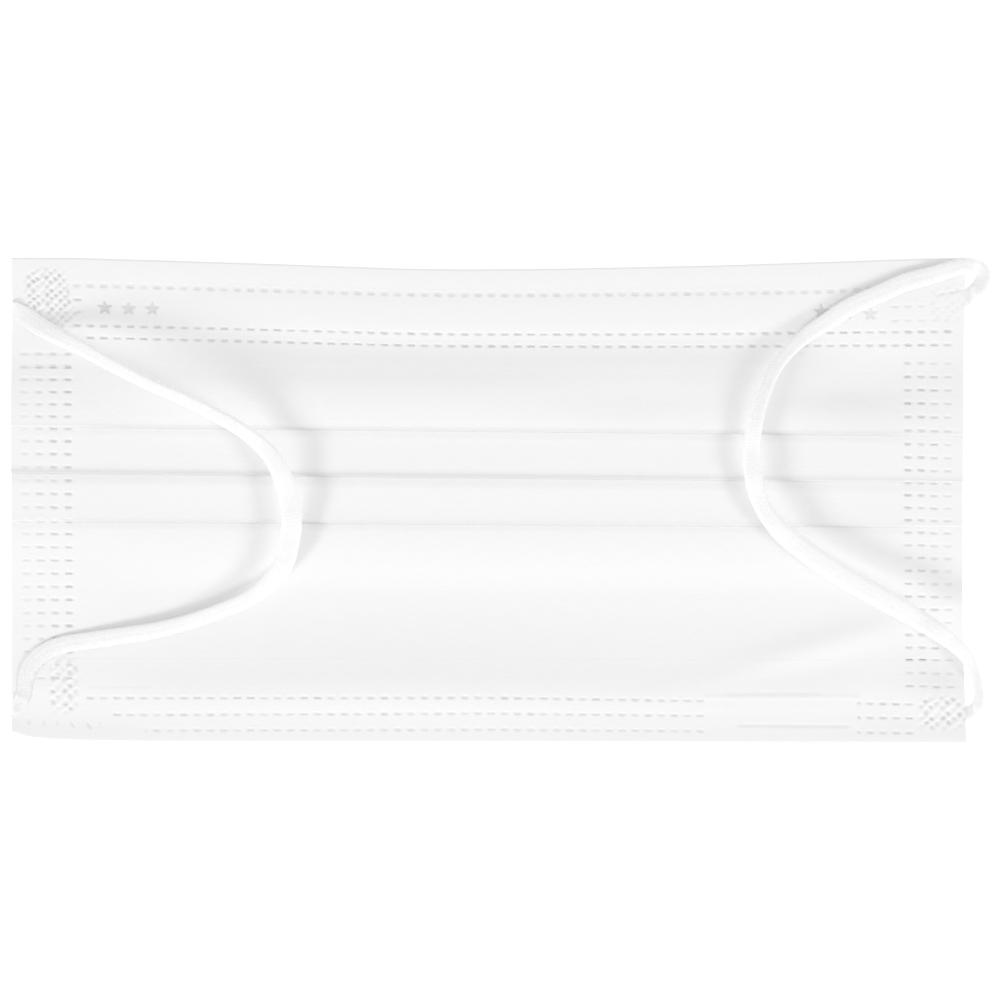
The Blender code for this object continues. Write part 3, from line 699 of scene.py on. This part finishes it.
rightLoop = {
    "name": "loop_right",
    "node": "ear_loop_right",
    "side": 1,
    "length": 0.1435,
    "greyEnds": (0.11, 0.14),
    "endGlow": (0.75, 1),
    "route": [
        (84.5, 36.8, 0.72, 0, 0), (87.3, 37.1, 0.8, 0, 0), (88.4, 37.6, 0.88, 0, 0),
        (89.8, 38.8, 0.95, 0, 0), (90.8, 40.4, 1.0, 0, 0), (91.0, 41.8, 1.1, 0, 0),
        (90.2, 42.8, 1.4, 0, 0), (88.4, 43.15, 2.4, 0, 0), (86.0, 42.8, 2.7, 0, 0),
        (82.1, 41.6, 2.6, 0, 0.5),
        (76.6, 40.1), (72.0, 38.1), (66.4, 35.6), (62.0, 32.8), (58.7, 30.6),
        (55.0, 27.3), (52.3, 23.8), (50.5, 19.9), (49.3, 15.9), (48.4, 11.1),
        (48.2, 6.5), (49.5, 0.6), (53.2, -5.2), (59.1, -10.0), (66.1, -14.6),
        (74.0, -19.0),
        (80.8, -23.0, 5.0, 0, 0.5), (84.9, -25.9, 4.8, 0, 0), (87.4, -28.2, 4.2, 0, 0),
        (88.9, -31.0, 3.4, 0, 0), (89.8, -34.0, 2.7, 0, 0), (90.1, -36.4, 2.2, 0, 0),
        (89.5, -38.2, 1.8, 0, 0), (88.3, -39.0, 1.3, 0, 0), (87.3, -39.3, 0.8, 0, 0),
        (84.5, -39.6, 0.72, 0, 0),
    ],
    "section": [
        (0.0, 4.4, 0.4, 0, 0), (0.02, 3.6, 0.5, 0, 0), (0.045, 2.6, 0.7, 0, 0),
        (0.11, 3.0, 0.8, -2, 0.3), (0.18, 3.4, 0.75, -3, 0.3), (0.28, 3.3, 0.85, -4, 0.4),
        (0.35, 2.4, 1.2, 0, 0.9), (0.44, 2.6, 1.3, 5, 1.6), (0.54, 3.2, 1.1, 5, 2.3),
        (0.66, 4.0, 0.8, 6, 2.4), (0.76, 4.0, 0.8, 8, 3.0), (0.84, 3.4, 0.8, 6, 3.3),
        (0.9, 2.4, 1.0, 0, 2.0), (0.94, 1.6, 1.0, 0, 0), (0.98, 3.0, 0.5, 0, 0),
        (1.0, 4.4, 0.4, 0, 0),
    ],
}
loopForm = {
    "corners": 30,  # round the section
    "spacing": 0.16 * mm,  # between two rings of corners
    "blend": 0.012,  # share of the length over which the section's values are smoothed
    "ribPitch": 0.62 * mm,
    "ribHeight": 0.022 * mm,
    "ribFull": 1.1 * mm,  # a loop as thick as this has full ribs
    "ribSlant": 2.6,
    "groove": 0.12,  # depth of the groove, as a share of the thickness, and its width
    "grooveWidth": 0.3,
    "floorGap": 0.02 * mm,
}
# painted glow on the loops, emission that lightens them: share all over, how far past the mask's edge it is
# strongest, where the loops lie in the mask's shade, how far it reaches from there, and the height over which
# it is gone
loopPaintedGlow = {"all": 0.15, "past": 0.7 * mm, "reach": 1.5 * mm, "below": 2.3 * mm, "fade": 0.8 * mm}


# smooth curve through rows of values: each span is the usual cubic of its four nearest rows
def smoothCurve(rows, at):
    rows = np.concatenate([rows[:1], rows, rows[-1:]])
    k = np.clip(np.floor(at).astype(int), 0, len(rows) - 4)
    t = (at - k)[:, None]
    a, b, c, d = rows[k], rows[k + 1], rows[k + 2], rows[k + 3]
    square, cube = 2 * a - 5 * b + 4 * c - d, 3 * b - a - 3 * c + d
    return 0.5 * (2 * b + (c - a) * t + square * t**2 + cube * t**3)


def blurred(values, spread):  # a bell-shaped running mean along the first axis, ends held
    reach = int(spread * 3)
    weights = np.exp(-0.5 * (np.arange(-reach, reach + 1) / spread) ** 2)
    padded = np.pad(values, (reach, reach), mode="edge")
    return np.convolve(padded, weights / weights.sum(), "valid")


def highestNear(values, reach):
    padded = np.pad(values, (reach, reach), mode="edge")
    return np.lib.stride_tricks.sliding_window_view(padded, 2 * reach + 1).max(axis=1)


# height of the finished mask's seen side at a place in plan, hems and nose wire included
def roofAt(xPlan, yPlan):
    x = np.clip(xPlan, -halfWidth, halfWidth)
    y = np.array(yPlan)
    for _ in range(3):  # back from the plan to the section
        y = y + yPlan - inPlan(x, y)[1]
    top = bodyTop(x, y)
    for plan, side in ((topHem, 1), (bottomHem, -1)):
        over = featherAt(y, plan) * (plan["gap"] + plan["wall"]) + hemLift(x, y)
        top = np.where(side * y > edgeY - plan["depth"], top + over, top)
    return top


# the points of a line at even spacing, with how far along each is, and other values carried to them
def evenly(points, spacing, *others):
    gone = np.concatenate([[0], np.cumsum(np.linalg.norm(np.diff(points, axis=0), axis=1))])
    count = int(gone[-1] / spacing) + 1
    at = np.linspace(0, gone[-1], count)
    fitted = []
    for values in (points, *others):
        fitted.append(np.stack([np.interp(at, gone, column) for column in values.T], axis=1))
    return at, fitted[0], fitted[1:]


# A knitted band carried along its route: the section is a flattened ring with a shallow groove down each
# flat side, its width, thickness and roll follow the table, and fine ribs run round it.
def makeLoop(plan, finish):
    route = [row if len(row) > 2 else (*row, 0, 0, 1) for row in plan["route"]]
    route = np.array(route, float) * [mm, mm, mm, 1, 1]
    line = smoothCurve(route, np.linspace(0, len(route) - 1, 3000))
    spacing = loopForm["spacing"]
    _, _, [line] = evenly(line[:, :3], spacing, line)
    shares = np.linspace(0, 1, len(line))
    at, *columns = zip(*plan["section"])
    spread = len(line) * loopForm["blend"]
    wide, thick, roll, arch = (blurred(np.interp(shares, at, column), spread) for column in columns)
    wide, thick, roll, arch = wide * mm, thick * mm, np.radians(roll), arch * mm
    tall = np.hypot(wide / 2 * np.sin(roll), thick / 2 * np.cos(roll))
    flatWidth = np.hypot(wide / 2 * np.cos(roll), thick / 2 * np.sin(roll))
    heading = np.gradient(line[:, :2], axis=0)
    heading = heading / (np.linalg.norm(heading, axis=1, keepdims=True) + 1e-12)
    sideways = np.stack([-heading[:, 1], heading[:, 0]], axis=1)
    beside = [(s * flatWidth)[:, None] * sideways for s in (-0.8, -0.4, 0, 0.4, 0.8)]
    under = np.max([roofAt(*(line[:, :2] + off).T) for off in beside], axis=0)
    lying = highestNear(under + tall, int(1.5 * mm / spacing))
    lying = blurred(lying, 2.0 * mm / spacing) + arch
    lies = eased(line[:, 4])
    line[:, 2] = lies * lying + (1 - lies) * line[:, 2]
    gone, centre, [facing, wide, thick, roll] = evenly(
        line[:, :3], spacing, line[:, 3:4], wide[:, None], thick[:, None], roll[:, None]
    )
    along = np.gradient(centre, axis=0)
    along = along / np.linalg.norm(along, axis=1, keepdims=True)
    turn = np.radians(facing)
    outward = np.concatenate([plan["side"] * np.sin(turn), np.zeros_like(turn), np.cos(turn)], axis=1)
    across = np.cross(outward, along)
    across = across / np.linalg.norm(across, axis=1, keepdims=True)
    up = np.cross(along, across)
    acrossNow = across * np.cos(roll) + up * np.sin(roll)
    upNow = up * np.cos(roll) - across * np.sin(roll)
    angle = np.linspace(0, 2 * math.pi, loopForm["corners"] + 1)[:-1][None, :]
    cosine, sine = np.cos(angle), np.sin(angle)
    groove = 1 - loopForm["groove"] * np.exp(-((cosine / loopForm["grooveWidth"]) ** 2))
    wave = np.sin(2 * math.pi * gone[:, None] / loopForm["ribPitch"] + loopForm["ribSlant"] * cosine)
    rib = loopForm["ribHeight"] * np.clip(thick / loopForm["ribFull"], 0, 1) * wave
    thin = 0.7 + 1.0 * eased((wide / thick - 2) / 4)
    u = (wide / 2 + rib) * np.sign(cosine) * np.abs(cosine) ** 0.9
    v = (thick / 2 * groove + rib) * np.sign(sine) * np.abs(sine) ** thin
    rings = centre[:, None] + acrossNow[:, None] * u[:, :, None] + upNow[:, None] * v[:, :, None]
    rings[:, :, 2] = np.maximum(rings[:, :, 2], loopForm["floorGap"])
    share = gone / gone[-1]
    ends = zip(plan["greyEnds"], (share, 1 - share))
    greyness = np.maximum(*(eased((reach - way) / 0.08) for reach, way in ends))
    # painted glow: a share all over that the grey ends lose, and more just past the mask's edge and low down
    past = np.abs(np.abs(centre[:, 0]) - halfWidth - loopPaintedGlow["past"]) / loopPaintedGlow["reach"]
    glowPastEdge = (1 - loopPaintedGlow["all"]) * np.interp(share, (0, 1), plan["endGlow"]) * eased(1.4 - past)
    glowPastEdge = glowPastEdge * eased((loopPaintedGlow["below"] - centre[:, 2]) / loopPaintedGlow["fade"])
    paintedGlow = loopPaintedGlow["all"] * (1 - greyness) + glowPastEdge
    attributes = {
        "paintedGlowLoop": np.broadcast_to(paintedGlow[:, None], u.shape),
        "alongLoop": np.broadcast_to(gone[:, None], u.shape),
        "roundLoop": np.broadcast_to(np.abs(angle - math.pi) / math.pi, u.shape),
        "greyLoop": np.broadcast_to(greyness[:, None], u.shape),
        "thickLoop": np.broadcast_to(thick, u.shape),
    }
    piece = tubePiece(plan["name"], rings, finish, plan["node"], attributes)
    print(plan["name"], "is", round(gone[-1] / mm, 1), "mm long, highest", round(centre[:, 2].max() / mm, 2))


# The loops' welded ends under the corners: a rounded pad, pressed with crossed ridges on its far side

# "thick" is the share of the plate's height, and the ridges' pitch and depth are in mm
padPlan = {"rings": 14, "around": 56, "rim": 0.16, "thick": 0.9, "pitch": 1.5, "ridge": 0.1}


def makePad(node, finish):
    low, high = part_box(node)
    centre = np.array([(low.x + high.x) / 2, (low.y + high.y) / 2])
    half = np.array([(high.x - low.x) / 2, (high.y - low.y) / 2])
    tall = (high.z - low.z) * padPlan["thick"]
    angle = np.linspace(0, 2 * math.pi, padPlan["around"] + 1)[:-1]
    outline = np.stack([np.sign(np.cos(angle)) * np.abs(np.cos(angle)) ** 0.35,
                        np.sign(np.sin(angle)) * np.abs(np.sin(angle)) ** 0.45], axis=1) * half
    share = np.concatenate([np.linspace(0.04, 0.94, padPlan["rings"]), [0.985, 1.0]])
    plan = outline[None] * share[:, None, None]
    past = np.clip(share - 1 + padPlan["rim"], 0, None) / padPlan["rim"]
    dx, dy = plan[..., 0] / mm, plan[..., 1] / mm
    ridge = np.clip(knurlMark(dx, dy, 9.0, 9.0, padPlan["pitch"]), 0, 1) * padPlan["ridge"] * mm
    thick = tall / 2 * np.sqrt(np.clip(1 - past**2, 0, 1))[:, None]
    thick = np.maximum(thick - ridge * (share[:, None] < 0.9), 0)
    topZ, lowZ = tall / 2 + thick, tall / 2 - thick
    rings = np.concatenate([np.stack([plan[..., 0], plan[..., 1], lowZ], axis=-1),
                            np.stack([plan[..., 0], plan[..., 1], topZ], axis=-1)[::-1][1:]])
    rings[..., :2] += centre
    return tubePiece(node.replace("loop_weld_", "pad_"), rings, finish, node)


# Finishes

def link(tree, source, target):
    tree.links.new(source, target)


def shaderNode(tree, kind, **values):
    made = tree.nodes.new(kind)
    for key, value in values.items():
        if key in made.inputs:
            made.inputs[key].default_value = value
        else:
            setattr(made, key, value)
    return made


def arithmetic(tree, operation, first, second):
    made = shaderNode(tree, "ShaderNodeMath", operation=operation)
    for socket, value in zip(made.inputs, (first, second)):
        if isinstance(value, (int, float)):
            socket.default_value = value
        else:
            link(tree, value, socket)
    return made.outputs[0]


def attributeOf(tree, name):
    return shaderNode(tree, "ShaderNodeAttribute", attribute_name=name).outputs["Fac"]


def blend(tree, first, second, amount):  # from one colour to the other by an amount from 0 to 1
    made = shaderNode(tree, "ShaderNodeMix", data_type="RGBA", clamp_factor=True)
    for socket in made.inputs:
        if socket.type == "RGBA":
            socket.default_value = (*(first if socket.identifier.startswith("A") else second), 1)
    link(tree, amount, made.inputs["Factor"])
    return [socket for socket in made.outputs if socket.type == "RGBA"][0]


def newFinish(name, roughness):
    made = bpy.data.materials.new(name)
    made.use_nodes = True
    shader = made.node_tree.nodes["Principled BSDF"]
    shader.inputs["Roughness"].default_value = roughness
    shader.inputs["Specular IOR Level"].default_value = 0.25
    return made, made.node_tree, shader


# fibres: noise stretched along one direction on Object coordinates
def fibres(tree, coordinates, turn, fine, long):
    mapping = shaderNode(tree, "ShaderNodeMapping")
    mapping.inputs["Rotation"].default_value = (0, 0, math.radians(turn))
    mapping.inputs["Scale"].default_value = (long, fine, fine)
    link(tree, coordinates, mapping.inputs["Vector"])
    noise = shaderNode(tree, "ShaderNodeTexNoise", Scale=1.0, Detail=2.0)
    link(tree, mapping.outputs[0], noise.inputs["Vector"])
    return noise.outputs[0]


nonwoven = {
    "white": (0.95, 0.95, 0.953),
    "grey": (0.66, 0.66, 0.665),
    "pressGrey": 0.62,  # how far a full mark, and full painted crease shade, goes to the grey
    "cloud": 0.12,  # how far the uneven web does
    "cloudSize": 420.0,
    "cloudBump": 0.8,
    "fibreTurns": (12, -38, 64, 101),
    "fine": 5200,  # scale of the fibres across and along
    "long": 520,
    "bump": 0.045 * mm,
}


def nonwovenFinish(name):
    made, tree, shader = newFinish(name, 0.9)
    place = shaderNode(tree, "ShaderNodeTexCoord").outputs["Object"]
    fine, long = nonwoven["fine"], nonwoven["long"]
    layers = [fibres(tree, place, turn, fine, long) for turn in nonwoven["fibreTurns"]]
    first = arithmetic(tree, "MAXIMUM", layers[0], layers[1])
    second = arithmetic(tree, "MAXIMUM", layers[2], layers[3])
    web = arithmetic(tree, "MAXIMUM", first, second)
    cloud = shaderNode(tree, "ShaderNodeTexNoise", Scale=nonwoven["cloudSize"], Detail=4.0, Roughness=0.65)
    link(tree, place, cloud.inputs["Vector"])
    shade = arithmetic(tree, "SUBTRACT", cloud.outputs[0], 0.5)
    shade = arithmetic(tree, "MULTIPLY", shade, nonwoven["cloud"])
    # greys the cloth by its pressed marks and by the painted shade along the fold edges
    markedAndShaded = arithmetic(tree, "MULTIPLY", attributeOf(tree, "press"), nonwoven["pressGrey"])
    amount = arithmetic(tree, "ADD", markedAndShaded, shade)
    link(tree, blend(tree, nonwoven["white"], nonwoven["grey"], amount), shader.inputs["Base Color"])
    lumps = arithmetic(tree, "MULTIPLY", cloud.outputs[0], nonwoven["cloudBump"])
    relief = arithmetic(tree, "ADD", web, lumps)
    bump = shaderNode(tree, "ShaderNodeBump", Strength=1.0, Distance=nonwoven["bump"])
    link(tree, relief, bump.inputs["Height"])
    link(tree, bump.outputs[0], shader.inputs["Normal"])
    return made


elastic = {
    "white": (0.935, 0.935, 0.935),
    "grey": (0.85, 0.85, 0.853),
    "scatter": 0.85,  # how much of the light goes through the knit, and how far, as a share of the thickness
    "soft": 0.5,
    "paintedGlow": 0.18,  # painted glow: emission strength where a loop's glow share is full
    "stitch": 0.31 * mm,  # pitch along the loop, slant and number of the knit's columns round it
    "slant": 22.0,
    "columns": 37.0,
    "bump": 0.012 * mm,
}


def elasticFinish(name):
    made, tree, shader = newFinish(name, 0.85)
    tint = blend(tree, elastic["white"], elastic["grey"], attributeOf(tree, "greyLoop"))
    link(tree, tint, shader.inputs["Base Color"])
    shader.inputs["Emission Color"].default_value = (1, 1, 1, 1)  # painted glow: white emission that lightens the loops, most where they lie in shade by the mask's edge
    glow = arithmetic(tree, "MULTIPLY", attributeOf(tree, "paintedGlowLoop"), elastic["paintedGlow"])
    link(tree, glow, shader.inputs["Emission Strength"])
    shader.inputs["Subsurface Weight"].default_value = elastic["scatter"]
    shader.inputs["Subsurface Radius"].default_value = (1, 1, 1)
    reach = arithmetic(tree, "MULTIPLY", attributeOf(tree, "thickLoop"), elastic["soft"])
    link(tree, reach, shader.inputs["Subsurface Scale"])
    along, around = attributeOf(tree, "alongLoop"), attributeOf(tree, "roundLoop")
    stitch = arithmetic(tree, "MULTIPLY", along, 2 * math.pi / elastic["stitch"])
    slant = arithmetic(tree, "MULTIPLY", around, elastic["slant"])
    one = arithmetic(tree, "SINE", arithmetic(tree, "ADD", stitch, slant), 0)
    two = arithmetic(tree, "SINE", arithmetic(tree, "MULTIPLY", around, elastic["columns"]), 0)
    one, two = arithmetic(tree, "ADD", one, 1.0), arithmetic(tree, "ADD", two, 1.6)
    relief = arithmetic(tree, "MULTIPLY", one, two)
    bump = shaderNode(tree, "ShaderNodeBump", Strength=0.5, Distance=elastic["bump"])
    link(tree, relief, bump.inputs["Height"])
    link(tree, bump.outputs[0], shader.inputs["Normal"])
    return made


plain = {"size": 1500.0, "darker": 0.93, "bump": 0.03 * mm}


def plainFinish(name, colour, roughness):
    made, tree, shader = newFinish(name, roughness)
    place = shaderNode(tree, "ShaderNodeTexCoord").outputs["Object"]
    noise = shaderNode(tree, "ShaderNodeTexNoise", Scale=plain["size"], Detail=3.0)
    link(tree, place, noise.inputs["Vector"])
    tint = blend(tree, colour, [plain["darker"] * c for c in colour], noise.outputs[0])
    link(tree, tint, shader.inputs["Base Color"])
    bump = shaderNode(tree, "ShaderNodeBump", Strength=0.6, Distance=plain["bump"])
    link(tree, noise.outputs[0], bump.inputs["Height"])
    link(tree, bump.outputs[0], shader.inputs["Normal"])
    return made


# The stage

stagePlan = {
    "frameWidth": 183.8 * mm,  # what the picture spans at the mask
    "centre": (2.1 * mm, 0.1 * mm),
    "level": 2 * mm,  # the height that the frame's width is measured at
    "lens": 200.0,
    "sensor": 36.0,
    "floorSize": 3.0,
    "floorColour": (0.94, 0.94, 0.94, 1),
    "floorGlow": 0.35,
    "world": 0.745,
    "lampDistance": 1.6,
    "lampSize": 0.36,
}
# direction to each lamp in degrees: round from +X, above the floor, and its power in watts
lamps = [
    {"name": "lamp_left", "round": 227, "above": 21, "power": 9.4},
    {"name": "lamp_right", "round": 328, "above": 25, "power": 6.4},
]


def makeStage():
    size = stagePlan["floorSize"]
    corners = np.array([[-size, -size, 0], [size, -size, 0], [size, size, 0], [-size, size, 0]], float)
    mesh = bpy.data.meshes.new("floor")
    mesh.from_pydata(corners.tolist(), [], [(0, 1, 2, 3)])
    floor = bpy.data.objects.new("floor", mesh)
    bpy.context.scene.collection.objects.link(floor)
    paper, tree, shader = newFinish("floor_paper", 0.9)
    shader.inputs["Base Color"].default_value = stagePlan["floorColour"]
    shader.inputs["Emission Color"].default_value = (1, 1, 1, 1)
    shader.inputs["Emission Strength"].default_value = stagePlan["floorGlow"]
    mesh.materials.append(paper)
    world = bpy.data.worlds.new("studio")
    world.use_nodes = True
    world.node_tree.nodes["Background"].inputs["Color"].default_value = (1, 1, 1, 1)
    world.node_tree.nodes["Background"].inputs["Strength"].default_value = stagePlan["world"]
    bpy.context.scene.world = world
    for row in lamps:
        data = bpy.data.lights.new(row["name"], "AREA")
        data.shape = "DISK"
        data.size = stagePlan["lampSize"]
        data.energy = row["power"]
        lamp = bpy.data.objects.new(row["name"], data)
        a, e = math.radians(row["round"]), math.radians(row["above"])
        far = stagePlan["lampDistance"]
        flat = math.cos(e)
        lamp.location = (far * math.cos(a) * flat, far * math.sin(a) * flat, far * math.sin(e))
        lamp.rotation_euler = (math.pi / 2 - e, 0, a + math.pi / 2)
        lamp.visible_camera = False
        bpy.context.scene.collection.objects.link(lamp)


def makeCamera():
    data = bpy.data.cameras.new("camera")
    data.lens = stagePlan["lens"]
    data.sensor_width = stagePlan["sensor"]
    camera = bpy.data.objects.new("camera", data)
    away = stagePlan["frameWidth"] * data.lens / data.sensor_width
    camera.location = (*stagePlan["centre"], away + stagePlan["level"])
    data.clip_start, data.clip_end = 0.05, 20
    bpy.context.scene.collection.objects.link(camera)
    bpy.context.scene.camera = camera
    bpy.context.scene.view_settings.view_transform = "Standard"


makeCamera()
makeStage()
print("stage: camera, floor and lamps")

loopWhite = elasticFinish("knitted_elastic")
for plan in (leftLoop, rightLoop):
    makeLoop(plan, loopWhite)
print("stage: ear loops")

cloth = nonwovenFinish("spunbond_cloth")
body, unfolded = makePanel(cloth)
hems = [
    makeHem("hem_top", "top_hem", topHem, 1, cloth),
    makeHem("hem_bottom", "bottom_hem", bottomHem, -1, cloth),
]
strip = makeWire(plainFinish("coated_wire", (0.82, 0.82, 0.8), 0.5))
weldWhite = plainFinish("welded_elastic", (0.86, 0.86, 0.86), 0.6)
pads = [makePad(node, weldWhite) for node in sorted(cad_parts) if node.startswith("loop_weld_")]
print("stage: mask body, hems and welds")
